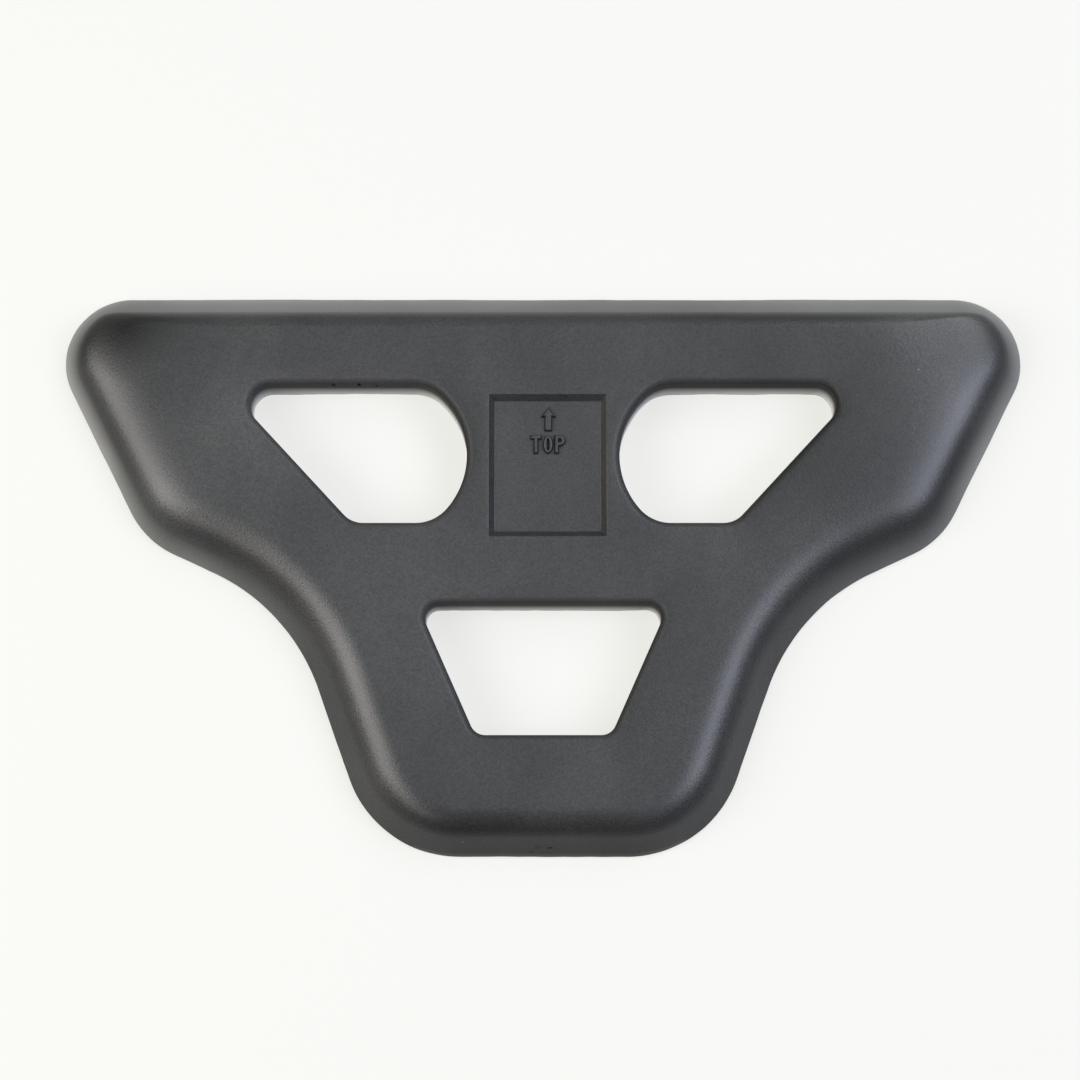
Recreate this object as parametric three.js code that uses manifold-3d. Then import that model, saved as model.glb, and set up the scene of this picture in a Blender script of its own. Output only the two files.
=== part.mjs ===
// Tailbone protector: one moulded pad of soft impact foam, lying on its back with its face up.
// Millimetres. X runs across the hips, Y up the wearer's back, Z out of the face.
// The origin is under the middle of the pad, on the plane that it rests on.
import * as THREE from "three";
import { mergeVertices } from "three/addons/utils/BufferGeometryUtils.js";
import Module from "manifold-3d";

// Driving dimensions of the moulding
const THICKNESS = 15;
const EDGE = { chamfer: 0.4, lip: 1.2 };
const SKIRT = { inset: 4.4, narrow: 12, narrowGain: 1.82, halvings: 40 };
const SHOULDER = { plainWidth: 16, steps: 9 };
const RIM = { radius: 2, draft: 0.1, steps: 5, lastAngle: THREE.MathUtils.degToRad(80) };
const CUT_CLEARANCE = 1;
const ARC_STEPS = 12;
const WELD = 1e-4;

// Corners of the right half, from the top edge down to the bottom edge; the left half mirrors them.
// x, y, radius: the edge that rests on the table.
// faceX, faceY, faceRadius: the flat face inside the shoulder.
const CORNERS = [
  { name: "wing tip", x: 146.5, y: 78.75, radius: 18.5, faceX: 112, faceY: 67.6, faceRadius: 16 },
  { name: "wing foot", x: 111.7, y: 9.6, radius: 26.2, faceX: 95.3, faceY: 19.5, faceRadius: 12 },
  { name: "waist", x: 70.7, y: -9.6, radius: 57.5, faceX: 58, faceY: 2, faceRadius: 73 },
  { name: "tail", x: 45.9, y: -78.75, radius: 32.2, faceX: 34, faceY: -66.3, faceRadius: 17 },
];

// Corners of the right half of the window near the tail
const LOWER_WINDOW = [
  { name: "wide end", x: 34.6, y: -10.1, radius: 3.8 },
  { name: "narrow end", x: 18.6, y: -46.3, radius: 4.1 },
];

// The right upper window: two level edges, a slanted outer side and a bowed inner side
const UPPER_WINDOW = {
  top: 51.6,
  bottom: 12.6,
  outerTop: { x: 88.9, radius: 5.7 },
  outerBottom: { x: 53, radius: 7.1 },
  bow: { x: 44.6, y: 31.6, radius: 23.3, fillet: 11.2 },
};

// The sunk panel and the raised marks in it
const PANEL = { x: 1.25, y: 28.5, width: 32.7, height: 40, depth: 2, wall: 1.6 };
const MARK = { height: 1.2, taper: 0.35, sink: 0.2, curveSegments: 6 };
const ARROW = { x: 1.45, foot: 38.6, notch: 42.6, barb: 42.4, tip: 44.7, stem: 1.5, head: 3.2 };
const LETTERS = { foot: 32.2, height: 4.7, stroke: 0.7, bowl: 2.6 };
const LETTER_PLACES = [
  { letter: "T", x: -3.25, width: 2.5 },
  { letter: "O", x: 0.2, width: 2.3 },
  { letter: "P", x: 3.4, width: 2.5 },
];

const wasm = await Module();
wasm.setup();

// A loop is a list of arcs, with straight stretches between them, run counter-clockwise.
function loopOf(corners) {
  return corners.map((corner, i) => {
    const at = new THREE.Vector2(corner.x, corner.y);
    const before = corners[(i + corners.length - 1) % corners.length];
    const after = corners[(i + 1) % corners.length];
    const arriving = at.clone().sub(before).normalize();
    const leaving = new THREE.Vector2(after.x, after.y).sub(at).normalize();
    const turn = Math.atan2(arriving.cross(leaving), arriving.dot(leaving));
    const hollow = turn < 0;
    const side = hollow ? -1 : 1;
    const setback = corner.radius * Math.tan(Math.abs(turn) / 2);
    const inward = new THREE.Vector2(-arriving.y, arriving.x).multiplyScalar(side * corner.radius);
    const centre = at.clone().addScaledVector(arriving, -setback).add(inward);
    const start = arriving.angle() - (side * Math.PI) / 2;
    return { x: centre.x, y: centre.y, radius: corner.radius, start, end: start + turn, hollow };
  });
}

// The same loop moved outwards, or inwards where the distance is negative
function moved(loop, distance) {
  return loop.map((arc) => ({ ...arc, radius: arc.radius + (arc.hollow ? -distance : distance) }));
}

// The loop's points: every arc has the same number of steps, and a shared end counts once
function pointsOf(loop) {
  const points = [];
  for (const { x, y, radius, start, end, hollow } of loop) {
    const curve = new THREE.EllipseCurve(x, y, radius, radius, start, end, hollow);
    for (const point of curve.getPoints(ARC_STEPS)) {
      if (points.length === 0 || points.at(-1).distanceTo(point) > WELD) {
        points.push(point);
      }
    }
  }
  return points;
}

// A point of an arc, and the way in from it
function placeOn(arc, share) {
  const angle = THREE.MathUtils.lerp(arc.start, arc.end, share);
  const outward = new THREE.Vector2(Math.cos(angle), Math.sin(angle));
  const foot = new THREE.Vector2(arc.x, arc.y).addScaledVector(outward, arc.radius);
  return { foot, inward: outward.multiplyScalar(arc.hollow ? 1 : -1) };
}

// Points at one height
function atHeight(points, z) {
  return points.map((point) => new THREE.Vector3(point.x, point.y, z));
}

// Both halves of a shape whose right half is listed from top to bottom
function mirrored(corners) {
  const left = corners.map((corner) => ({ ...corner, x: -corner.x }));
  return [...left, ...corners.toReversed()];
}

// A closed solid through rings of points, the lowest ring first
function loft(rings) {
  const count = rings[0].length;
  const positions = rings.flat().flatMap((point) => point.toArray());
  const index = [];
  for (let ring = 0; ring < rings.length - 1; ring += 1) {
    for (let i = 0; i < count; i += 1) {
      const a = ring * count + i;
      const b = ring * count + ((i + 1) % count);
      index.push(a, b, b + count, a, b + count, a + count);
    }
  }
  const lastStart = (rings.length - 1) * count;
  for (const [a, b, c] of THREE.ShapeUtils.triangulateShape(rings[0], [])) {
    index.push(a, c, b);
  }
  for (const [a, b, c] of THREE.ShapeUtils.triangulateShape(rings.at(-1), [])) {
    index.push(lastStart + a, lastStart + b, lastStart + c);
  }
  const geometry = new THREE.BufferGeometry();
  geometry.setAttribute("position", new THREE.Float32BufferAttribute(positions, 3));
  geometry.setIndex(index);
  return geometry;
}

function solidOf(geometry) {
  const bare = geometry.clone();
  bare.deleteAttribute("normal");
  bare.deleteAttribute("uv");
  const merged = mergeVertices(bare, WELD);
  const vertProperties = new Float32Array(merged.attributes.position.array);
  const triVerts = new Uint32Array(merged.index.array);
  return new wasm.Manifold(new wasm.Mesh({ numProp: 3, vertProperties, triVerts }));
}

function geometryOf(solid) {
  const mesh = solid.getMesh();
  const geometry = new THREE.BufferGeometry();
  geometry.setAttribute("position", new THREE.BufferAttribute(mesh.vertProperties, 3));
  geometry.setIndex(new THREE.BufferAttribute(mesh.triVerts, 1));
  geometry.computeVertexNormals();
  return geometry;
}

// The slope at which a straight skirt and a round shoulder together climb from the lip to the face
function skirtSlope(inset, width) {
  const climb = THICKNESS - EDGE.lip;
  let low = 0;
  let high = Math.PI / 2;
  for (let halving = 0; halving < SKIRT.halvings; halving += 1) {
    const slope = (low + high) / 2;
    const reached = inset * Math.tan(slope) + (width - inset) * Math.tan(slope / 2);
    if (reached < climb) {
      low = slope;
    } else {
      high = slope;
    }
  }
  return (low + high) / 2;
}

// Stations around the edge, each with its own section. The shoulder is as wide as the gap between the
// edge and the face, up to a limit, and around a corner it eases from one side's width to the next.
function stations() {
  const edge = loopOf(mirrored(CORNERS));
  const faceCorners = CORNERS.map(({ faceX, faceY, faceRadius }) => {
    return { x: faceX, y: faceY, radius: faceRadius };
  });
  const face = loopOf(mirrored(faceCorners));
  return edge.flatMap((arc, i) => {
    const [first, last] = [0, 1].map((share) => {
      const { foot, inward } = placeOn(arc, share);
      const across = placeOn(face[i], share).foot.sub(foot).dot(inward);
      return Math.min(SHOULDER.plainWidth, across);
    });
    return Array.from({ length: ARC_STEPS + 1 }, (_, step) => {
      const share = step / ARC_STEPS;
      const width = THREE.MathUtils.lerp(first, last, THREE.MathUtils.smoothstep(share, 0, 1));
      const inset = SKIRT.inset + SKIRT.narrowGain * Math.max(0, SKIRT.narrow - width);
      const faceFoot = placeOn(face[i], share).foot;
      return { ...placeOn(arc, share), faceFoot, width, inset, slope: skirtSlope(inset, width) };
    });
  });
}

// A station's point that lies in from the edge
function inFrom({ foot, inward }, inset, z) {
  return new THREE.Vector3(foot.x + inward.x * inset, foot.y + inward.y * inset, z);
}

// A point of a station's shoulder, which leaves the skirt square to the edge and swings over to the face
function onShoulder(station, share) {
  const { faceFoot, width, inset, slope } = station;
  const angle = slope * (1 - share);
  const along = 1 - Math.sin(angle) / Math.sin(slope);
  const round = width - inset;
  const z = THICKNESS - (round * (1 - Math.cos(angle))) / Math.sin(slope);
  const point = inFrom(station, inset + (round * along) / (1 + along), z);
  return point.lerp(new THREE.Vector3(faceFoot.x, faceFoot.y, z), along ** 2);
}

// The moulding without its windows: a chamfered lip, a flat skirt and a shoulder that rolls on to the face
function body() {
  const around = stations();
  const rings = [
    around.map((station) => inFrom(station, EDGE.chamfer, 0)),
    around.map((station) => inFrom(station, 0, EDGE.chamfer)),
    around.map((station) => inFrom(station, 0, EDGE.lip)),
  ];
  for (let step = 0; step <= SHOULDER.steps; step += 1) {
    rings.push(around.map((station) => onShoulder(station, step / SHOULDER.steps)));
  }
  return solidOf(loft(rings));
}

// What a window takes out: a wall with a little draft, rounded over where it meets the face
function windowCut(loop) {
  const rings = [atHeight(pointsOf(loop), -CUT_CLEARANCE), atHeight(pointsOf(loop), 0)];
  let grown = 0;
  let height = 0;
  for (let step = 0; step <= RIM.steps; step += 1) {
    const angle = (RIM.lastAngle * step) / RIM.steps;
    grown = RIM.draft + RIM.radius * (1 - Math.cos(angle));
    height = THICKNESS - RIM.radius * (1 - Math.sin(angle));
    rings.push(atHeight(pointsOf(moved(loop, grown)), height));
  }
  const over = THICKNESS + RIM.draft - height;
  const flare = over * Math.tan(RIM.lastAngle);
  rings.push(atHeight(pointsOf(moved(loop, grown + flare)), height + over));
  return solidOf(loft(rings));
}

function upperWindowLoop() {
  const { top, bottom, outerTop, outerBottom, bow } = UPPER_WINDOW;
  const spread = bow.radius - bow.fillet;
  const upperY = top - bow.fillet;
  const lowerY = bottom + bow.fillet;
  const upperX = bow.x - Math.sqrt(spread ** 2 - (upperY - bow.y) ** 2);
  const lowerX = bow.x - Math.sqrt(spread ** 2 - (lowerY - bow.y) ** 2);
  const upperEnd = Math.atan2(upperY - bow.y, upperX - bow.x);
  const lowerEnd = 2 * Math.PI + Math.atan2(lowerY - bow.y, lowerX - bow.x);
  const outer = loopOf([
    { x: bow.x, y: bottom, radius: 0 },
    { x: outerBottom.x, y: bottom, radius: outerBottom.radius },
    { x: outerTop.x, y: top, radius: outerTop.radius },
    { x: bow.x, y: top, radius: 0 },
  ]);
  return [
    { x: upperX, y: upperY, radius: bow.fillet, start: Math.PI / 2, end: upperEnd, hollow: false },
    { x: bow.x, y: bow.y, radius: bow.radius, start: upperEnd, end: lowerEnd, hollow: false },
    { x: lowerX, y: lowerY, radius: bow.fillet, start: lowerEnd, end: (3 * Math.PI) / 2, hollow: false },
    outer[1],
    outer[2],
  ];
}

// The same loop on the left side, still run counter-clockwise
function flipped(loop) {
  return loop.toReversed().map((arc) => ({
    ...arc,
    x: -arc.x,
    start: Math.PI - arc.end,
    end: Math.PI - arc.start,
  }));
}

// What the sunk panel takes out: a shallow tray with sloping walls and sharp corners
function panelCut() {
  const rings = [-PANEL.depth, CUT_CLEARANCE].map((level) => {
    const grown = (PANEL.wall * level) / PANEL.depth;
    const x = PANEL.width / 2 + grown;
    const y = PANEL.height / 2 + grown;
    const corners = [[-x, -y], [x, -y], [x, y], [-x, y]];
    return corners.map(([dx, dy]) => new THREE.Vector3(PANEL.x + dx, PANEL.y + dy, THICKNESS + level));
  });
  return solidOf(loft(rings));
}

function arrowShape() {
  const { x, foot, notch, barb, tip, stem, head } = ARROW;
  const shape = new THREE.Shape();
  shape.moveTo(x - stem / 2, foot);
  shape.lineTo(x + stem / 2, foot);
  shape.lineTo(x + stem / 2, notch);
  shape.lineTo(x + head / 2, barb);
  shape.lineTo(x, tip);
  shape.lineTo(x - head / 2, barb);
  shape.lineTo(x - stem / 2, notch);
  return shape;
}

const letterShapes = {
  T(x, width) {
    const { foot, height, stroke } = LETTERS;
    const top = foot + height;
    const middle = x + width / 2;
    const shape = new THREE.Shape();
    shape.moveTo(middle - stroke / 2, foot);
    shape.lineTo(middle + stroke / 2, foot);
    shape.lineTo(middle + stroke / 2, top - stroke);
    shape.lineTo(x + width, top - stroke);
    shape.lineTo(x + width, top);
    shape.lineTo(x, top);
    shape.lineTo(x, top - stroke);
    shape.lineTo(middle - stroke / 2, top - stroke);
    return shape;
  },
  O(x, width) {
    const { foot, height, stroke } = LETTERS;
    const middle = new THREE.Vector2(x + width / 2, foot + height / 2);
    const shape = new THREE.Shape();
    shape.absellipse(middle.x, middle.y, width / 2, height / 2, 0, 2 * Math.PI);
    const counter = new THREE.Path();
    counter.absellipse(middle.x, middle.y, width / 2 - stroke, height / 2 - stroke, 0, 2 * Math.PI);
    shape.holes.push(counter);
    return shape;
  },
  P(x, width) {
    const { foot, height, stroke, bowl } = LETTERS;
    const top = foot + height;
    const round = bowl / 2;
    const bend = { x: x + width - round, y: top - round };
    const quarter = Math.PI / 2;
    const shape = new THREE.Shape();
    shape.moveTo(x, foot);
    shape.lineTo(x + stroke, foot);
    shape.lineTo(x + stroke, top - bowl);
    shape.absarc(bend.x, bend.y, round, -quarter, quarter);
    shape.lineTo(x, top);
    const counter = new THREE.Path();
    counter.moveTo(x + stroke, top - bowl + stroke);
    counter.absarc(bend.x, bend.y, round - stroke, -quarter, quarter);
    counter.lineTo(x + stroke, top - stroke);
    shape.holes.push(counter);
    return shape;
  },
};

// A mark with tapering walls that stands up from the floor of the panel
function raised(shape) {
  const geometry = new THREE.ExtrudeGeometry(shape, {
    depth: MARK.sink,
    bevelThickness: MARK.height + MARK.sink,
    bevelSize: MARK.taper,
    bevelSegments: 1,
    curveSegments: MARK.curveSegments,
  });
  geometry.computeBoundingBox();
  const top = THICKNESS - PANEL.depth + MARK.height;
  geometry.translate(0, 0, top - geometry.boundingBox.max.z);
  return solidOf(geometry);
}

function marks() {
  const letters = LETTER_PLACES.map(({ letter, x, width }) => letterShapes[letter](x, width));
  return [arrowShape(), ...letters].map(raised);
}

function pad() {
  const right = upperWindowLoop();
  const windows = [loopOf(mirrored(LOWER_WINDOW)), right, flipped(right)];
  let solid = body();
  for (const cut of [...windows.map(windowCut), panelCut()]) {
    solid = solid.subtract(cut);
  }
  for (const mark of marks()) {
    solid = solid.add(mark);
  }
  const foam = new THREE.MeshStandardMaterial({ color: "#4a4b4c", roughness: 0.55, metalness: 0 });
  const mesh = new THREE.Mesh(geometryOf(solid), foam);
  mesh.name = "pad";
  return mesh;
}

const protector = new THREE.Group();
protector.add(pad());

export default protector;
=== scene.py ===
import math

import bmesh
import bpy
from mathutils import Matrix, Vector, noise


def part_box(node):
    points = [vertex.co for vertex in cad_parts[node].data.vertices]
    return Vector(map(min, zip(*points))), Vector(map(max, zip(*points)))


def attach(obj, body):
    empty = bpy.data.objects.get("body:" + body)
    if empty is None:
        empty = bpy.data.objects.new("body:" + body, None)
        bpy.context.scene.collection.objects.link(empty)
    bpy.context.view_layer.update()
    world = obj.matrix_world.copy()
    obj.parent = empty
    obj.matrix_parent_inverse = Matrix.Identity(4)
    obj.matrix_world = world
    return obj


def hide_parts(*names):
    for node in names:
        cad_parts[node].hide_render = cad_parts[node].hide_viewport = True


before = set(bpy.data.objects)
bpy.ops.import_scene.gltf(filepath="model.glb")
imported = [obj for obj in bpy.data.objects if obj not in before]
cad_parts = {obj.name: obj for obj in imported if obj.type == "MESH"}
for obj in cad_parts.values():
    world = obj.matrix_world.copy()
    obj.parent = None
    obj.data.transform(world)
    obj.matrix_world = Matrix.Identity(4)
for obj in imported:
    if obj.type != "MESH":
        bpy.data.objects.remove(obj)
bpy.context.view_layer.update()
padLow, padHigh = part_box("pad")
mm = 0.001          # the pad is drawn in millimetres and scaled when it is done
touching = 0.001    # ends of arcs closer than this are one point
fewestBends = 6     # steps around the tightest corner
tremble = {"share": 0.45, "finer": 3.7}                       # on top of a slow wander
filling = {"rounds": 12, "settles": 3, "pull": 0.5}           # how the flat areas are evened out
facePatch, backPatch, floorPatch, markPatch = 1, 2, 3, 4      # flat areas that are filled in
print("frame loaded:", sorted(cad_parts))


# Rounded outlines

def cornerArcs(corners):
    # each rounded corner as centre, radius, first angle and turn; a hollow corner turns the other way
    arcs = []
    for i, (x, y, radius) in enumerate(corners):
        spot = Vector((x, y))
        arriving = (spot - Vector(corners[i - 1][:2])).normalized()
        leaving = (Vector(corners[(i + 1) % len(corners)][:2]) - spot).normalized()
        turn = math.atan2(arriving.cross(leaving), arriving.dot(leaving))
        side = math.copysign(1, turn)
        inward = Vector((-arriving.y, arriving.x)) * side
        centre = spot - arriving * radius * math.tan(abs(turn) / 2) + inward * radius
        arcs.append((centre, radius, math.atan2(-inward.y, -inward.x), turn))
    return arcs


def bothHalves(corners):
    return [(-x, y, radius) for x, y, radius in corners] + list(reversed(corners))


def onArc(arc, share):
    # a point on the arc and the way in from it
    centre, radius, first, turn = arc
    angle = first + turn * share
    outward = Vector((math.cos(angle), math.sin(angle)))
    return centre + outward * radius, outward * -math.copysign(1, turn)


def stepsAlong(arcs, spacing):
    # how many steps each arc and the straight stretch after it take
    steps = []
    for i, arc in enumerate(arcs):
        centre, radius, first, turn = arc
        end = onArc(arc, 1)[0]
        start = onArc(arcs[(i + 1) % len(arcs)], 0)[0]
        bends = max(fewestBends, math.ceil(abs(turn) * radius / spacing))
        steps.append((bends, max(1, round((start - end).length / spacing))))
    return steps


def walk(arcs, steps):
    # points along the outline with the way in from each
    feet, inward = [], []
    for i, arc in enumerate(arcs):
        bends, strides = steps[i]
        for step in range(bends + 1):
            foot, way = onArc(arc, step / bends)
            feet.append(foot)
            inward.append(way)
        end, way = onArc(arc, 1)
        start = onArc(arcs[(i + 1) % len(arcs)], 0)[0]
        if (start - end).length < touching:
            feet.pop()
            inward.pop()
            continue
        for stride in range(1, strides):
            feet.append(end.lerp(start, stride / strides))
            inward.append(way)
    return feet, inward


# Rings of vertices

def ringEdges(verts):
    inRing = set(verts)
    return list({e for v in verts for e in v.link_edges if e.other_vert(v) in inRing})


def firstRing(bm, count, place, order):
    # a plain circle whose vertices are then laid along the outline
    verts = bmesh.ops.create_circle(bm, segments=count, radius=1)["verts"]
    for i, v in enumerate(verts):
        v[order] = i
        v.co = place(i)
    return verts


def nextRing(bm, verts, place, order):
    grown = bmesh.ops.extrude_edge_only(bm, edges=ringEdges(verts))["geom"]
    fresh = [g for g in grown if isinstance(g, bmesh.types.BMVert)]
    for v in fresh:
        v.co = place(v[order])
    return fresh


def fillBetween(bm, loops, patch, number):
    # fills the flat area inside the first loop of edges and outside the others
    edges = [e for loop in loops for e in loop]
    made = bmesh.ops.triangle_fill(bm, use_beauty=True, edges=edges)["geom"]
    for face in made:
        if isinstance(face, bmesh.types.BMFace):
            face[patch] = number


def paint(ring, layer, amount):
    for v in ring:
        v[layer] = amount


def uneven(spot, length):
    # wanders smoothly between about -1 and 1, with a finer tremble on top
    slow = noise.noise(Vector((spot.x, spot.y, 0)) / length)
    quick = noise.noise(Vector((spot.x, spot.y, length)) / length * tremble["finer"])
    return slow + tremble["share"] * quick


def patchFaces(bm, patch, number):
    return [f for f in bm.faces if f[patch] == number]


def innerEdges(faces, patch, number):
    return list({e for f in faces for e in f.edges
                 if all(g[patch] == number for g in e.link_faces)})


def refine(bm, patch, number, longest):
    # splits the long edges inside a flat patch, and evens its triangles out
    for again in range(filling["rounds"]):
        inside = innerEdges(patchFaces(bm, patch, number), patch, number)
        tooLong = [e for e in inside if e.calc_length() > longest]
        if not tooLong:
            break
        bmesh.ops.subdivide_edges(bm, edges=tooLong, cuts=1)
        bmesh.ops.triangulate(bm, faces=patchFaces(bm, patch, number))
        faces = patchFaces(bm, patch, number)
        bmesh.ops.beautify_fill(bm, faces=faces, edges=innerEdges(faces, patch, number))
        faces = patchFaces(bm, patch, number)
        free = {v for f in faces for v in f.verts if all(g[patch] == number for g in v.link_faces)}
        for settle in range(filling["settles"]):
            bmesh.ops.smooth_vert(bm, verts=list(free), factor=filling["pull"], use_axis_x=True,
                                  use_axis_y=True)


# The moulding

pad = {
    "thickness": (padHigh.z - padLow.z) / mm,
    "chamfer": 0.4, "lip": 1.2,                              # the edge that rests on the floor
    "skirtInset": 4.4, "narrow": 12, "narrowGain": 1.82,     # where it is narrow, more of it is skirt
    "plainWidth": 16,                                        # skirt and shoulder together, at most
    "halvings": 40,                                          # steps in the search for the skirt's slope
    "skirtRings": 5, "shoulderRings": 22,
    "spacing": 1.6, "faceSpacing": 4, "sharpAngle": 28,
    "ragged": 0.13, "raggedLength": 17,                      # the trimmed edge wanders a little
    # x, y, radius at the edge, then x, y, radius of the flat face, for the right half
    "corners": [
        (146.5, 78.75, 18.5, 112, 67.6, 16),       # wing tip
        (111.7, 9.6, 26.2, 95.3, 19.5, 12),        # wing foot
        (70.7, -9.6, 57.5, 58, 2, 73),             # waist
        (45.9, -78.75, 32.2, 34, -66.3, 17),       # tail
    ],
}
# the skirt's pale band: partly wear, partly painted reflection of the bright floor and painted light
# from the top and the left
wearAndPaintedLight = {
    "edge": 0.25, "from": -25, "to": 35,           # how pale the edge is, growing with y: painted light, lighter towards the top
    "top": 0.09, "topRings": 13,                   # along the top it fades out over the shoulder, painted light on the top band
    "uneven": 0.4, "length": 45,
    "less": 0.45, "middle": 18, "reach": 48,       # it is painted less pale around the middle
    "left": 0.2, "span": pad["corners"][0][0],     # and paler to the left, painted light from the left
}


def skirtSlope(inset, width):
    # the slope at which a straight skirt and a round shoulder together climb to the face
    climb = pad["thickness"] - pad["lip"]
    low, high = 0, math.pi / 2
    for halving in range(pad["halvings"]):
        slope = (low + high) / 2
        reached = inset * math.tan(slope) + (width - inset) * math.tan(slope / 2)
        low, high = (slope, high) if reached < climb else (low, slope)
    return slope


def shoulderWidths(edge, flat, steps):
    # from the edge to the flat face on each straight side, and eased around the corners
    def across(i, share):
        foot, way = onArc(edge[i], share)
        return min(pad["plainWidth"], (onArc(flat[i], share)[0] - foot).dot(way))

    widths = []
    for i, (bends, strides) in enumerate(steps):
        first, last, following = across(i, 0), across(i, 1), across((i + 1) % len(edge), 0)
        for step in range(bends):
            share = step / bends
            widths.append(first + (last - first) * share * share * (3 - 2 * share))
        for stride in range(strides):
            widths.append(last + (following - last) * stride / strides)
    return widths


def moulding(bm, order, paleWearAndLight):
    edge = cornerArcs(bothHalves([row[:3] for row in pad["corners"]]))
    flat = cornerArcs(bothHalves([row[3:] for row in pad["corners"]]))
    steps = stepsAlong(edge, pad["spacing"])
    feet, inward = walk(edge, steps)
    faceFeet = walk(flat, steps)[0]
    widths = shoulderWidths(edge, flat, steps)
    narrowed = [max(0, pad["narrow"] - width) for width in widths]
    insets = [pad["skirtInset"] + pad["narrowGain"] * lack for lack in narrowed]
    slopes = [skirtSlope(inset, width) for inset, width in zip(insets, widths)]

    def edgeRing(inset, z):
        def place(i):
            out = pad["ragged"] * uneven(feet[i], pad["raggedLength"])
            return (feet[i] + inward[i] * (inset - out)).to_3d() + Vector((0, 0, z))
        return place

    def skirt(share):
        def place(i):
            inset = insets[i] * share
            out = pad["ragged"] * (1 - share) ** 2 * uneven(feet[i], pad["raggedLength"])
            z = pad["lip"] + inset * math.tan(slopes[i])
            return (feet[i] + inward[i] * (inset - out)).to_3d() + Vector((0, 0, z))
        return place

    def shoulder(share):
        # leaves the skirt square to the edge, and swings over to the face's own outline
        def place(i):
            angle = slopes[i] * (1 - share)
            along = 1 - math.sin(angle) / math.sin(slopes[i])
            width = widths[i] - insets[i]
            foot = feet[i] + inward[i] * (insets[i] + width * along / (1 + along))
            drop = width * (1 - math.cos(angle)) / math.sin(slopes[i])
            z = pad["thickness"] - drop
            return foot.lerp(faceFeet[i], along ** 2).to_3d() + Vector((0, 0, z))
        return place

    # paints the skirt's pale band: partly wear, partly painted reflection and painted light
    def paintWearAndLight(ring, skirtShare, topShare):
        for v in ring:
            up = (v.co.y - wearAndPaintedLight["from"]) / (wearAndPaintedLight["to"] - wearAndPaintedLight["from"])
            top = max(0, -inward[v[order]].y) ** 2
            fromMiddle = (v.co.x - wearAndPaintedLight["middle"]) / wearAndPaintedLight["reach"]
            patchy = 1 + wearAndPaintedLight["uneven"] * uneven(v.co, wearAndPaintedLight["length"])
            patchy *= 1 - wearAndPaintedLight["less"] * math.exp(-fromMiddle * fromMiddle)
            patchy *= 1 - wearAndPaintedLight["left"] * (1 - top) * v.co.x / wearAndPaintedLight["span"]
            onSkirt = wearAndPaintedLight["edge"] * skirtShare * min(1, max(0, up))
            onTop = wearAndPaintedLight["top"] * (topShare + skirtShare) * top
            v[paleWearAndLight] = patchy * max(onSkirt, onTop)

    back = firstRing(bm, len(feet), edgeRing(pad["chamfer"], 0), order)
    ring = nextRing(bm, back, edgeRing(0, pad["chamfer"]), order)
    for step in range(pad["skirtRings"] + 1):
        share = step / pad["skirtRings"]
        ring = nextRing(bm, ring, skirt(share), order)
        paintWearAndLight(ring, 1 - share, 1)
    for step in range(1, pad["shoulderRings"] + 1):
        ring = nextRing(bm, ring, shoulder(step / pad["shoulderRings"]), order)
        paintWearAndLight(ring, 0, max(0, 1 - step / wearAndPaintedLight["topRings"]))
    return back, ring


# The windows

windows = {
    "rim": 2, "draft": 0.1, "rimRings": 8, "wallRings": 10, "spacing": 1.2,
    "ragged": 0.2, "raggedLength": 12, "raggedHeight": 4,   # the flash is trimmed off by hand and the foot of the wall is painted paler, fading upwards: a painted reflection of the floor
    "paintedReflectionHeight": 9,                                        # and leaves paler foam, fading upwards
    "rimPaintedShade": -0.7, "rimFade": 0.5,                       # painted shade: rims that face left are painted darker
    "tail": [(34.6, -10.1, 3.8), (18.6, -46.3, 4.1)],       # right half, wide end first
    "top": 51.6, "bottom": 12.6,                            # the pair beside the panel
    "outerTop": (88.9, 5.7), "outerBottom": (53, 7.1),      # x, radius
    "bow": (44.6, 31.6, 23.3), "bowFillet": 11.2,           # x, y, radius of the inner side
}


def pairWindow():
    # the right one: two level edges, a slanted outer side, and an inner side that bows in three arcs
    x, y, radius = windows["bow"]
    fillet = windows["bowFillet"]
    top, bottom = windows["top"], windows["bottom"]
    upper = Vector((0, top - fillet))
    lower = Vector((0, bottom + fillet))
    for spot in (upper, lower):
        spot.x = x - math.sqrt((radius - fillet) ** 2 - (spot.y - y) ** 2)
    upperEnd = math.atan2(upper.y - y, upper.x - x)
    lowerEnd = math.atan2(lower.y - y, lower.x - x) + 2 * math.pi
    topX, topRadius = windows["outerTop"]
    bottomX, bottomRadius = windows["outerBottom"]
    outer = cornerArcs([
        (x, bottom, 0), (bottomX, bottom, bottomRadius), (topX, top, topRadius), (x, top, 0),
    ])
    bow = [
        (upper, fillet, math.pi / 2, upperEnd - math.pi / 2),
        (Vector((x, y)), radius, upperEnd, lowerEnd - upperEnd),
        (lower, fillet, lowerEnd, 1.5 * math.pi - lowerEnd),
    ]
    return bow + outer[1:3]


def flipped(arcs):
    other = []
    for centre, radius, first, turn in reversed(arcs):
        other.append((Vector((-centre.x, centre.y)), radius, math.pi - first - turn, turn))
    return other


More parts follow.
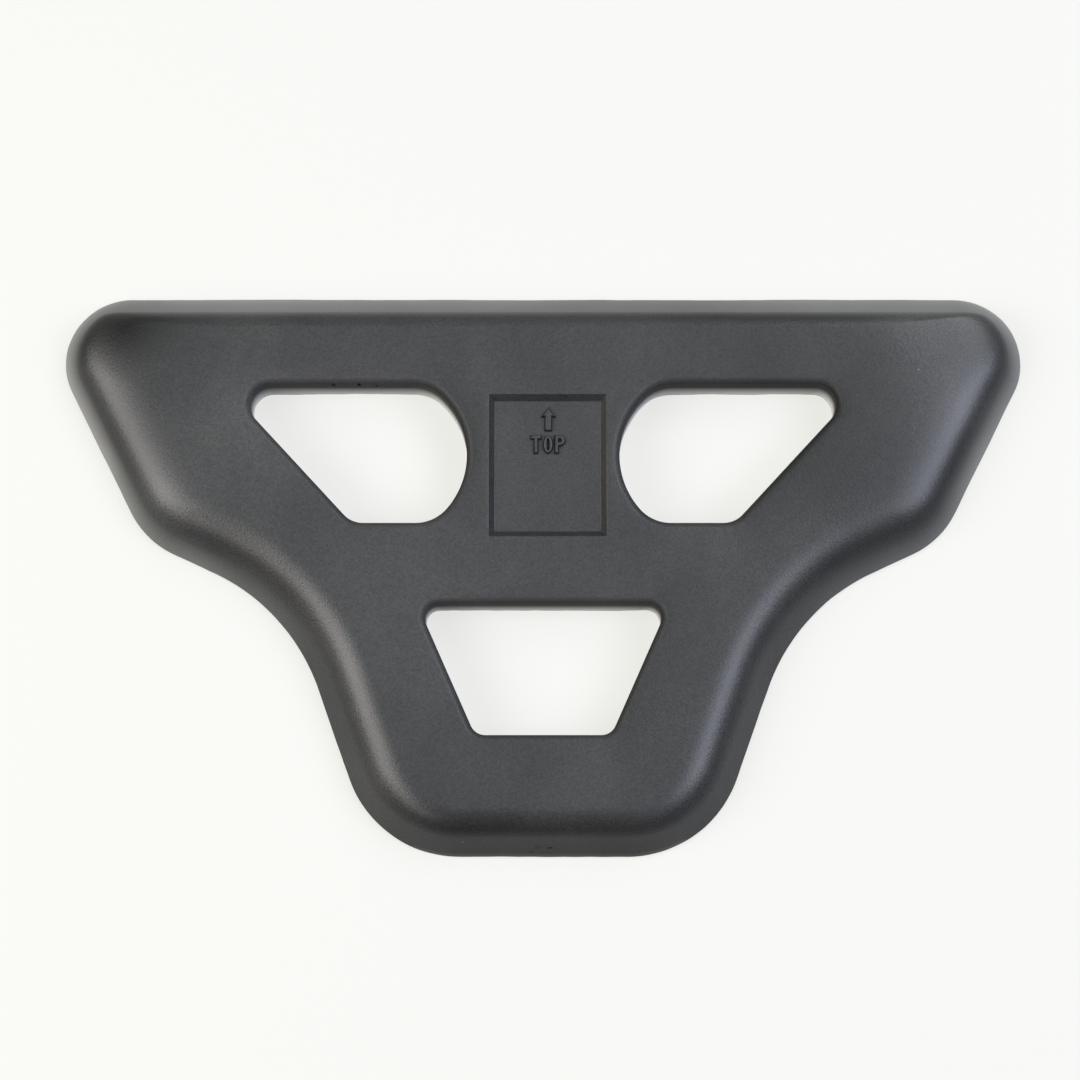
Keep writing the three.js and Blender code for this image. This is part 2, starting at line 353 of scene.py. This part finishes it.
def windowWall(bm, arcs, order, wall, paleWearAndLight, toneAndPaintedLight):
    feet, inward = walk(arcs, stepsAlong(arcs, windows["spacing"]))
    wallTop = pad["thickness"] - windows["rim"]

    def section(grown, z):
        ragged = windows["ragged"] * max(0, 1 - z / windows["raggedHeight"]) ** 2

        def place(i):
            out = grown + ragged * uneven(feet[i], windows["raggedLength"])
            return (feet[i] - inward[i] * out).to_3d() + Vector((0, 0, z))
        return place

    back = firstRing(bm, len(feet), section(0, 0), order)
    ring = back
    for step in range(windows["wallRings"]):
        z = pad["lip"] / 2 + (wallTop - pad["lip"] / 2) * step / windows["wallRings"]
        ring = nextRing(bm, ring, section(windows["draft"] * z / wallTop, z), order)
        paint(ring, wall, 1)
        # painted reflection of the floor: the wall is painted paler towards its foot
        paint(ring, paleWearAndLight, max(0, 1 - z / windows["paintedReflectionHeight"]))
    for step in range(windows["rimRings"] + 1):
        angle = 0.5 * math.pi * step / windows["rimRings"]
        grown = windows["draft"] + windows["rim"] * (1 - math.cos(angle))
        z = pad["thickness"] - windows["rim"] * (1 - math.sin(angle))
        ring = nextRing(bm, ring, section(grown, z), order)
        paint(ring, wall, 1 - (step / windows["rimRings"]) ** 2)
        paint(ring, paleWearAndLight, 0)
        # painted shade on the rims that face left
        for v in ring:
            leftward = max(0, -inward[v[order]].x)
            fade = 1 - windows["rimFade"] * step / windows["rimRings"]
            v[toneAndPaintedLight] = windows["rimPaintedShade"] * leftward * fade
    return back, ring


# The sunk panel and its raised marks

panel = {
    "centre": (1.25, 28.5), "size": (32.7, 40), "depth": 2, "wall": 1.6,
    "soft": 0.3, "softRings": 3, "stepsPerSide": 14,
}
marks = {
    "height": 1.2, "taper": 0.35, "roundSteps": 28, "softEdge": 0.1,
    "arrow": {"x": 1.45, "foot": 38.6, "notch": 42.6, "barb": 42.4, "tip": 44.7},
    "arrowWidth": {"stem": 1.5, "head": 3.2},
    "headSpread": 2, "tipSpread": 1.4,             # its slanted edges lean further out, times the taper
    "letters": {"foot": 32.2, "height": 4.7, "stroke": 0.7, "bowl": 2.6},
    "places": {"T": (-3.25, 2.5), "O": (0.2, 2.3), "P": (3.4, 2.5)},      # left side, width
}


def sunkPanel(bm, order):
    x, y = panel["centre"]
    width, height = panel["size"]
    perSide = panel["stepsPerSide"]
    corners = [Vector((-1, -1)), Vector((1, -1)), Vector((1, 1)), Vector((-1, 1))]
    square = []
    for s, corner in enumerate(corners):
        following = corners[(s + 1) % len(corners)]
        square += [corner.lerp(following, i / perSide) for i in range(perSide)]

    def section(inset, drop):
        reachX, reachY = width / 2 - inset, height / 2 - inset
        z = pad["thickness"] - drop
        return lambda i: Vector((x + square[i].x * reachX, y + square[i].y * reachY, z))

    # the mouth and the foot of the wall are both a little rounded
    slope = math.atan2(panel["depth"], panel["wall"])
    cut = panel["soft"] * math.tan(slope / 2)
    mouth = ring = firstRing(bm, len(square), section(-cut, 0), order)
    for step in range(1, panel["softRings"] + 1):
        angle = slope * step / panel["softRings"]
        inset = panel["soft"] * math.sin(angle) - cut
        drop = panel["soft"] * (1 - math.cos(angle))
        ring = nextRing(bm, ring, section(inset, drop), order)
    for step in range(panel["softRings"], -1, -1):
        angle = slope * step / panel["softRings"]
        inset = panel["wall"] + cut - panel["soft"] * math.sin(angle)
        drop = panel["depth"] - panel["soft"] * (1 - math.cos(angle))
        ring = nextRing(bm, ring, section(inset, drop), order)
    return mouth, ring


def drawLoop(bm, spots, z):
    verts = bmesh.ops.create_circle(bm, segments=len(spots), radius=1)["verts"]
    for v, spot in zip(verts, spots):
        v.co = (spot[0], spot[1], z)
    return ringEdges(verts)


def oval(x, y, halfWidth, halfHeight):
    steps = marks["roundSteps"]
    turns = [2 * math.pi * i / steps for i in range(steps)]
    return [(x + halfWidth * math.cos(a), y + halfHeight * math.sin(a)) for a in turns]


def arrowLoops(spread):
    arrow = marks["arrow"]
    x = arrow["x"]
    stem = marks["arrowWidth"]["stem"] / 2 + spread
    head = marks["arrowWidth"]["head"] / 2 + spread * marks["headSpread"]
    right = [
        (x + stem, arrow["foot"] - spread),
        (x + stem, arrow["notch"] - spread),
        (x + head, arrow["barb"] - spread),
    ]
    left = [(2 * x - px, py) for px, py in reversed(right)]
    return [right + [(x, arrow["tip"] + spread * marks["tipSpread"])] + left]


def letterLoops(letter, spread):
    # outlines at the foot of a raised letter, which is wider than its top by the spread
    left, width = marks["places"][letter]
    size = marks["letters"]
    foot, top, stroke = size["foot"], size["foot"] + size["height"], size["stroke"]
    half = stroke / 2 + spread
    middle = left + width / 2
    if letter == "T":
        bar = top - stroke - spread
        barEnd = left + width + spread
        right = [(middle + half, foot - spread), (middle + half, bar)]
        right += [(barEnd, bar), (barEnd, top + spread)]
        return [right + [(2 * middle - px, py) for px, py in reversed(right)]]
    if letter == "O":
        centre = (top + foot) / 2
        outer = oval(middle, centre, width / 2 + spread, size["height"] / 2 + spread)
        thick = stroke + spread
        counter = oval(middle, centre, width / 2 - thick, size["height"] / 2 - thick)
        return [outer, counter]
    # the P: a stem, and a bowl that is half round
    bowl = size["bowl"] / 2
    bendX, bendY = left + width - bowl, top - bowl
    stemEnd = left + stroke + spread
    outerRound, innerRound = bowl + spread, bowl - stroke - spread
    halfSteps = marks["roundSteps"] // 2
    turns = [math.pi * (i / halfSteps - 0.5) for i in range(halfSteps + 1)]
    outer = [(left - spread, foot - spread), (stemEnd, foot - spread), (stemEnd, bendY - outerRound)]
    outer += [(bendX + outerRound * math.cos(a), bendY + outerRound * math.sin(a)) for a in turns]
    outer += [(left - spread, top + spread)]
    counter = [(stemEnd, bendY - innerRound)]
    counter += [(bendX + innerRound * math.cos(a), bendY + innerRound * math.sin(a)) for a in turns]
    counter += [(stemEnd, bendY + innerRound)]
    return [outer, counter]


def raiseMarks(bm, floorRing, patch, shaded):
    # each mark is drawn on the panel's floor and pushed up with its walls leaning in
    z = pad["thickness"] - panel["depth"]
    shapes = [arrowLoops(marks["taper"])]
    shapes += [letterLoops(letter, marks["taper"]) for letter in marks["places"]]
    drawn = [[drawLoop(bm, loop, z) for loop in shape] for shape in shapes]
    around = [ringEdges(floorRing)] + [loop for loops in drawn for loop in loops]
    fillBetween(bm, around, patch, floorPatch)
    for loops in drawn:
        fillBetween(bm, loops, patch, markPatch)
    flat = patchFaces(bm, patch, floorPatch) + patchFaces(bm, patch, markPatch)
    for f in flat:
        f.normal_update()
    bmesh.ops.reverse_faces(bm, faces=[f for f in flat if f.normal.z < 0])
    tops = patchFaces(bm, patch, markPatch)
    walls = bmesh.ops.inset_region(bm, faces=tops, thickness=marks["taper"], depth=marks["height"],
                                   use_boundary=True, use_even_offset=True)["faces"]
    for f in walls:
        f[shaded] = 1
    raised = set(tops)
    brows = {e for f in walls for e in f.edges if raised.intersection(e.link_faces)}
    bmesh.ops.bevel(bm, geom=list(brows), offset=marks["softEdge"], affect="EDGES", segments=2,
                    profile=0.5, material=-1)


# Marks of use, and patches of tone and painted light

# small holes in the skin: x, y, z, radius, how much taller than wide, depth, how dark
pits = [
    (-59, 51.7, 12, 0.42, 3, 0.6, 1),              # in the wall of a window
    (-51, 51.7, 12.3, 0.45, 3, 0.6, 1),
    (-46.4, 51.7, 11.4, 0.35, 2.5, 0.4, 0.8),
    (1.2, -76.2, 5.7, 0.6, 1, 0.12, 0.2),          # scuffs on the tail's skirt
    (2.2, -76.3, 5.6, 0.5, 1, 0.12, 0.2),
    (-1.1, -76.6, 5.2, 0.5, 1, 0.12, 0.2),
    (-2.9, -77.2, 4.1, 0.5, 1, 0.12, 0.2),
]
pitting = {"reach": 3, "cuts": 4, "steepness": 4}  # the skin is divided out to so many radii
# soft patches of the skin, partly tone and partly painted highlight and painted shade: x, y, radius, how
# much paler, or darker where it is below nought
tonePatchesAndPaintedLight = [
    (-119, 67, 11, -0.9), (-106, 68, 10, -0.3),                                # left wing tip, painted shade over the highlight
    (-104, 17, 10, 0.5), (-82, 41, 20, 0.4),                                   # left wing foot, a painted highlight and a paler patch
    (-29, 6, 20, 0.35), (-47, -21, 14, 0.3), (1, 22, 13, -0.2),                # middle
    (76, 28, 20, -0.3), (60, 66, 30, -0.3), (106, 68, 12, 0.7), (112, 50, 10, 0.5),    # right wing, painted highlight and painted shade
    (-20, -86, 13, -0.9), (0, -87, 13, -0.95), (21, -86, 13, -0.9),            # tail's skirt, painted shade
    (0, -52, 12, -0.15),
]


def sinkPit(bm, spot, radius, tall, depth, dark, shaded):
    # the skin around the nearest face is divided finely, and pushed in
    def away(place):
        gap = place - middle
        return math.hypot(gap.x, gap.y, gap.z / tall) / radius

    centres = {f: f.calc_center_median() for f in bm.faces}
    nearest = min(centres, key=lambda f: (centres[f] - spot).length)
    middle = centres[nearest]
    push = nearest.normal * -depth
    edges = {e for f in centres if away(centres[f]) < pitting["reach"] for e in f.edges}
    bmesh.ops.subdivide_edges(bm, edges=list(edges), cuts=pitting["cuts"], use_grid_fill=True)
    sunk = {v: away(v.co) for v in bm.verts if away(v.co) < 1}
    for v, share in sunk.items():
        v.co += push * (1 - share ** pitting["steepness"])
        for f in v.link_faces:
            f[shaded] = dark


def addUseAndPaintedLight(bm, toneAndPaintedLight, shaded):
    for x, y, z, radius, tall, depth, dark in pits:
        sinkPit(bm, Vector((x, y, z)), radius, tall, depth, dark, shaded)
    # patches of tone, painted highlight and painted shade
    for v in bm.verts:
        for x, y, radius, amount in tonePatchesAndPaintedLight:
            away = (v.co.xy - Vector((x, y))).length / radius
            v[toneAndPaintedLight] += amount * math.exp(-away * away)


# The foam's skin

skin = {
    "dark": (0.0124, 0.0124, 0.0131, 1), "light": (0.0171, 0.0168, 0.0170, 1),    # mottled between these
    # patterns per metre, and detail; then the part of the pattern that is spread over 0 to 1
    "mottling": (48, 5), "mottlingSpan": (0.32, 0.68),
    "cloud": (16, 2), "cloudSpan": (0.3, 0.7),
    "speckle": (1900, 3), "speckleSpan": (0.3, 0.7), "speckleTone": 0.34,
    "grain": (1700, 2), "grainHeight": 0.055 * mm, "grainStrength": 1,
    "smooth": 0.33, "rough": 0.39, "wallRoughness": 0.9, "ior": 1.3,
    # the pale colour is wear and painted light on the skirt, and painted reflection at the feet of the
    # window walls
    "shadedColour": (0.004, 0.004, 0.004, 1), "paleWearAndLightColour": (0.4, 0.4, 0.392, 1),
    "dustColour": (0.09, 0.09, 0.086, 1), "dustCells": 95,
    "dustSpan": (0.032, 0.02), "dustPicked": (0.86, 0.88),    # a speck, and which cells have one
}


def between(tree, share, first, second, kind="RGBA"):
    # mixes two colours or two numbers, each a plain value or the output of a node
    mix = tree.nodes.new("ShaderNodeMix")
    mix.data_type = kind
    tree.links.new(share, mix.inputs[0])
    sockets = mix.inputs[6:8] if kind == "RGBA" else mix.inputs[2:4]
    for socket, value in zip(sockets, (first, second)):
        if isinstance(value, bpy.types.NodeSocket):
            tree.links.new(value, socket)
        else:
            socket.default_value = value
    return mix.outputs[2 if kind == "RGBA" else 0]


def spread(tree, value, low, high):
    # stretches the part of a value between low and high over 0 to 1
    reach = tree.nodes.new("ShaderNodeMapRange")
    reach.inputs["From Min"].default_value = low
    reach.inputs["From Max"].default_value = high
    tree.links.new(value, reach.inputs["Value"])
    return reach.outputs["Result"]


def cloudy(tree, place, scale, detail):
    pattern = tree.nodes.new("ShaderNodeTexNoise")
    pattern.inputs["Scale"].default_value = scale
    pattern.inputs["Detail"].default_value = detail
    tree.links.new(place, pattern.inputs["Vector"])
    return pattern.outputs["Fac"]


def painted(tree, name):
    share = tree.nodes.new("ShaderNodeAttribute")
    share.attribute_name = name
    return share.outputs["Fac"]


def product(tree, first, second):
    times = tree.nodes.new("ShaderNodeMath")
    times.operation = "MULTIPLY"
    tree.links.new(first, times.inputs[0])
    tree.links.new(second, times.inputs[1])
    return times.outputs[0]


def toned(tree, colour, amount):
    # the colour made lighter where the amount is above nought, and darker where it is below
    gain = tree.nodes.new("ShaderNodeMath")
    gain.inputs[1].default_value = 1
    tree.links.new(amount, gain.inputs[0])
    scaled = tree.nodes.new("ShaderNodeVectorMath")
    scaled.operation = "SCALE"
    tree.links.new(colour, scaled.inputs[0])
    tree.links.new(gain.outputs[0], scaled.inputs["Scale"])
    return scaled.outputs[0]


def dustSpecks(tree, place):
    # a speck in the middle of a few of the cells
    cells = tree.nodes.new("ShaderNodeTexVoronoi")
    cells.inputs["Scale"].default_value = skin["dustCells"]
    tree.links.new(place, cells.inputs["Vector"])
    chosen = tree.nodes.new("ShaderNodeSeparateColor")
    tree.links.new(cells.outputs["Color"], chosen.inputs["Color"])
    near = spread(tree, cells.outputs["Distance"], *skin["dustSpan"])
    picked = spread(tree, chosen.outputs["Red"], *skin["dustPicked"])
    return product(tree, near, picked)


def foamSkin():
    material = bpy.data.materials.new("foamSkin")
    material.use_nodes = True
    tree = material.node_tree
    shader = tree.nodes["Principled BSDF"]
    place = tree.nodes.new("ShaderNodeTexCoord").outputs["Object"]
    mottling = spread(tree, cloudy(tree, place, *skin["mottling"]), *skin["mottlingSpan"])
    cloud = spread(tree, cloudy(tree, place, *skin["cloud"]), *skin["cloudSpan"])
    grain = cloudy(tree, place, *skin["grain"])
    colour = between(tree, mottling, skin["dark"], skin["light"])
    speckle = spread(tree, cloudy(tree, place, *skin["speckle"]), *skin["speckleSpan"])
    speckle = between(tree, speckle, -skin["speckleTone"], skin["speckleTone"], "FLOAT")
    # tone patches, painted highlight and painted shade, and painted shade on rims that face left
    colour = toned(tree, toned(tree, colour, painted(tree, "toneAndPaintedLight")), speckle)
    colour = between(tree, dustSpecks(tree, place), colour, skin["dustColour"])
    # paler where painted: wear and painted light on the skirt, painted reflection at the feet of the
    # window walls
    colour = between(tree, painted(tree, "paleWearAndLight"), colour, skin["paleWearAndLightColour"])
    colour = between(tree, painted(tree, "shaded"), colour, skin["shadedColour"])
    roughness = between(tree, cloud, skin["smooth"], skin["rough"], "FLOAT")
    roughness = between(tree, painted(tree, "shaded"), roughness, skin["wallRoughness"], "FLOAT")
    roughness = between(tree, painted(tree, "wall"), roughness, skin["wallRoughness"], "FLOAT")
    relief = tree.nodes.new("ShaderNodeBump")
    relief.inputs["Strength"].default_value = skin["grainStrength"]
    relief.inputs["Distance"].default_value = skin["grainHeight"]
    tree.links.new(grain, relief.inputs["Height"])
    tree.links.new(colour, shader.inputs["Base Color"])
    tree.links.new(roughness, shader.inputs["Roughness"])
    tree.links.new(relief.outputs["Normal"], shader.inputs["Normal"])
    shader.inputs["IOR"].default_value = skin["ior"]
    return material


def buildPad():
    bm = bmesh.new()
    order = bm.verts.layers.int.new("order")
    patch = bm.faces.layers.int.new("patch")
    wall = bm.verts.layers.float.new("wall")
    paleWearAndLight = bm.verts.layers.float.new("paleWearAndLight")
    toneAndPaintedLight = bm.verts.layers.float.new("toneAndPaintedLight")
    shaded = bm.faces.layers.float.new("shaded")
    back, face = moulding(bm, order, paleWearAndLight)
    rims, backs = [face], [back]
    right = pairWindow()
    for arcs in (cornerArcs(bothHalves(windows["tail"])), right, flipped(right)):
        low, high = windowWall(bm, arcs, order, wall, paleWearAndLight, toneAndPaintedLight)
        backs.append(low)
        rims.append(high)
    mouth, floorRing = sunkPanel(bm, order)
    raiseMarks(bm, floorRing, patch, shaded)
    fillBetween(bm, [ringEdges(ring) for ring in rims + [mouth]], patch, facePatch)
    fillBetween(bm, [ringEdges(ring) for ring in backs], patch, backPatch)
    for number in (facePatch, backPatch):
        refine(bm, patch, number, pad["faceSpacing"])
    bmesh.ops.recalc_face_normals(bm, faces=bm.faces)
    addUseAndPaintedLight(bm, toneAndPaintedLight, shaded)
    bmesh.ops.scale(bm, vec=(mm, mm, mm), verts=bm.verts)
    bm.verts.layers.int.remove(order)
    bm.faces.layers.int.remove(patch)
    mesh = bpy.data.meshes.new("foamPad")
    bm.to_mesh(mesh)
    bm.free()
    mesh.shade_smooth()
    mesh.set_sharp_from_angle(angle=math.radians(pad["sharpAngle"]))
    piece = bpy.data.objects.new("foamPad", mesh)
    bpy.context.scene.collection.objects.link(piece)
    mesh.materials.append(foamSkin())
    return piece


foamPad = buildPad()
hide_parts("pad")
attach(foamPad, "root")
print("pad built:", len(foamPad.data.polygons), "faces")


# Floor, light and camera

studio = {
    "floorSize": 6, "floorDrop": 0.1 * mm,
    "floorColour": (0.08, 0.08, 0.078, 1), "floorRoughness": 0.9,
    "floorGlow": (0.67, 0.67, 0.642, 1),                     # it is lit from below
    "glowCentre": (0, 1.0, 0), "glowSpan": (1.6, 1.24),      # and gives light mostly behind the pad
    "world": (0.01, 0.01, 0.01, 1), "backdrop": (0.94, 0.94, 0.925, 1),
}


def layFloor():
    bm = bmesh.new()
    bmesh.ops.create_grid(bm, x_segments=1, y_segments=1, size=studio["floorSize"] / 2)
    bmesh.ops.translate(bm, vec=(0, 0, -studio["floorDrop"]), verts=bm.verts)
    mesh = bpy.data.meshes.new("floor")
    bm.to_mesh(mesh)
    bm.free()
    material = bpy.data.materials.new("paleFloor")
    material.use_nodes = True
    tree = material.node_tree
    shader = tree.nodes["Principled BSDF"]
    shader.inputs["Base Color"].default_value = studio["floorColour"]
    shader.inputs["Roughness"].default_value = studio["floorRoughness"]
    shader.inputs["Emission Color"].default_value = studio["floorGlow"]
    away = tree.nodes.new("ShaderNodeVectorMath")
    away.operation = "DISTANCE"
    away.inputs[1].default_value = studio["glowCentre"]
    tree.links.new(tree.nodes.new("ShaderNodeTexCoord").outputs["Object"], away.inputs[0])
    fading = spread(tree, away.outputs["Value"], *studio["glowSpan"])
    seen = tree.nodes.new("ShaderNodeLightPath").outputs["Is Camera Ray"]
    glow = tree.nodes.new("ShaderNodeMath")
    glow.operation = "MAXIMUM"                        # to the eye it is pale all over
    tree.links.new(fading, glow.inputs[0])
    tree.links.new(seen, glow.inputs[1])
    tree.links.new(glow.outputs[0], shader.inputs["Emission Strength"])
    mesh.materials.append(material)
    floor = bpy.data.objects.new("floor", mesh)
    bpy.context.scene.collection.objects.link(floor)


# name, azimuth from +X, elevation, distance, width and height in metres, radiance, colour
softboxes = [
    ("leftBox", 186, 38, 1.3, 0.7, 0.6, 15.3, (1.0, 0.985, 0.935)),
    ("leftHighBox", 185, 58, 1.3, 0.6, 0.4, 11.4, (1.0, 0.96, 0.94)),
    ("leftFrontBox", 222, 42, 1.3, 0.45, 0.45, 7.5, (1.0, 0.96, 0.84)),
    ("leftLowBox", 195, 9, 1.4, 0.9, 0.3, 2.5, (1.0, 0.97, 0.7)),
    ("rightBox", 354, 45, 1.3, 0.7, 0.5, 15.5, (0.8, 0.85, 1.0)),
    ("rightHighBox", 355, 61, 1.3, 0.8, 0.5, 7.0, (0.78, 0.79, 1.0)),
    ("rightFrontBox", 315, 46, 1.3, 0.45, 0.45, 1.8, (0.94, 1.0, 0.8)),
    ("backWallBox", 92, 32, 1.5, 1.3, 0.9, 1.2, (0.9, 1.0, 0.75)),
    ("backRightBox", 50, 48, 1.4, 0.6, 0.6, 11.0, (0.935, 1.0, 0.99)),
    ("ceilingBox", 90, 80, 1.6, 1.2, 0.9, 2.0, (0.92, 1.0, 1.0)),
]


def hangLights():
    for name, azimuth, elevation, distance, width, height, radiance, colour in softboxes:
        light = bpy.data.lights.new(name, "AREA")
        light.shape = "RECTANGLE"
        light.size, light.size_y = width, height
        light.energy = radiance * math.pi * width * height
        light.color = colour
        lamp = bpy.data.objects.new(name, light)
        a, e = math.radians(azimuth), math.radians(elevation)
        away = Vector((math.cos(a) * math.cos(e), math.sin(a) * math.cos(e), math.sin(e)))
        lamp.location = away * distance
        lamp.rotation_euler = away.to_track_quat("Z", "Y").to_euler()
        bpy.context.scene.collection.objects.link(lamp)
    world = bpy.data.worlds.new("studio")
    world.use_nodes = True
    tree = world.node_tree
    seen = tree.nodes.new("ShaderNodeLightPath").outputs["Is Camera Ray"]
    colour = between(tree, seen, studio["world"], studio["backdrop"])
    tree.links.new(colour, tree.nodes["Background"].inputs["Color"])
    bpy.context.scene.world = world


lens = {
    "target": (-0.88 * mm, 9.9 * mm, 0), "distance": 0.8936, "elevation": 80.5,
    "focalLength": 106.15, "sensor": 36,
}


def placeCamera():
    data = bpy.data.cameras.new("camera")
    data.lens = lens["focalLength"]
    data.sensor_width = lens["sensor"]
    camera = bpy.data.objects.new("camera", data)
    e = math.radians(lens["elevation"])
    back = Vector((0, -math.cos(e), math.sin(e)))
    camera.location = Vector(lens["target"]) + back * lens["distance"]
    camera.rotation_euler = back.to_track_quat("Z", "Y").to_euler()
    bpy.context.scene.collection.objects.link(camera)
    bpy.context.scene.camera = camera


layFloor()
hangLights()
placeCamera()
bpy.context.scene.view_settings.view_transform = "Standard"
print("studio set")
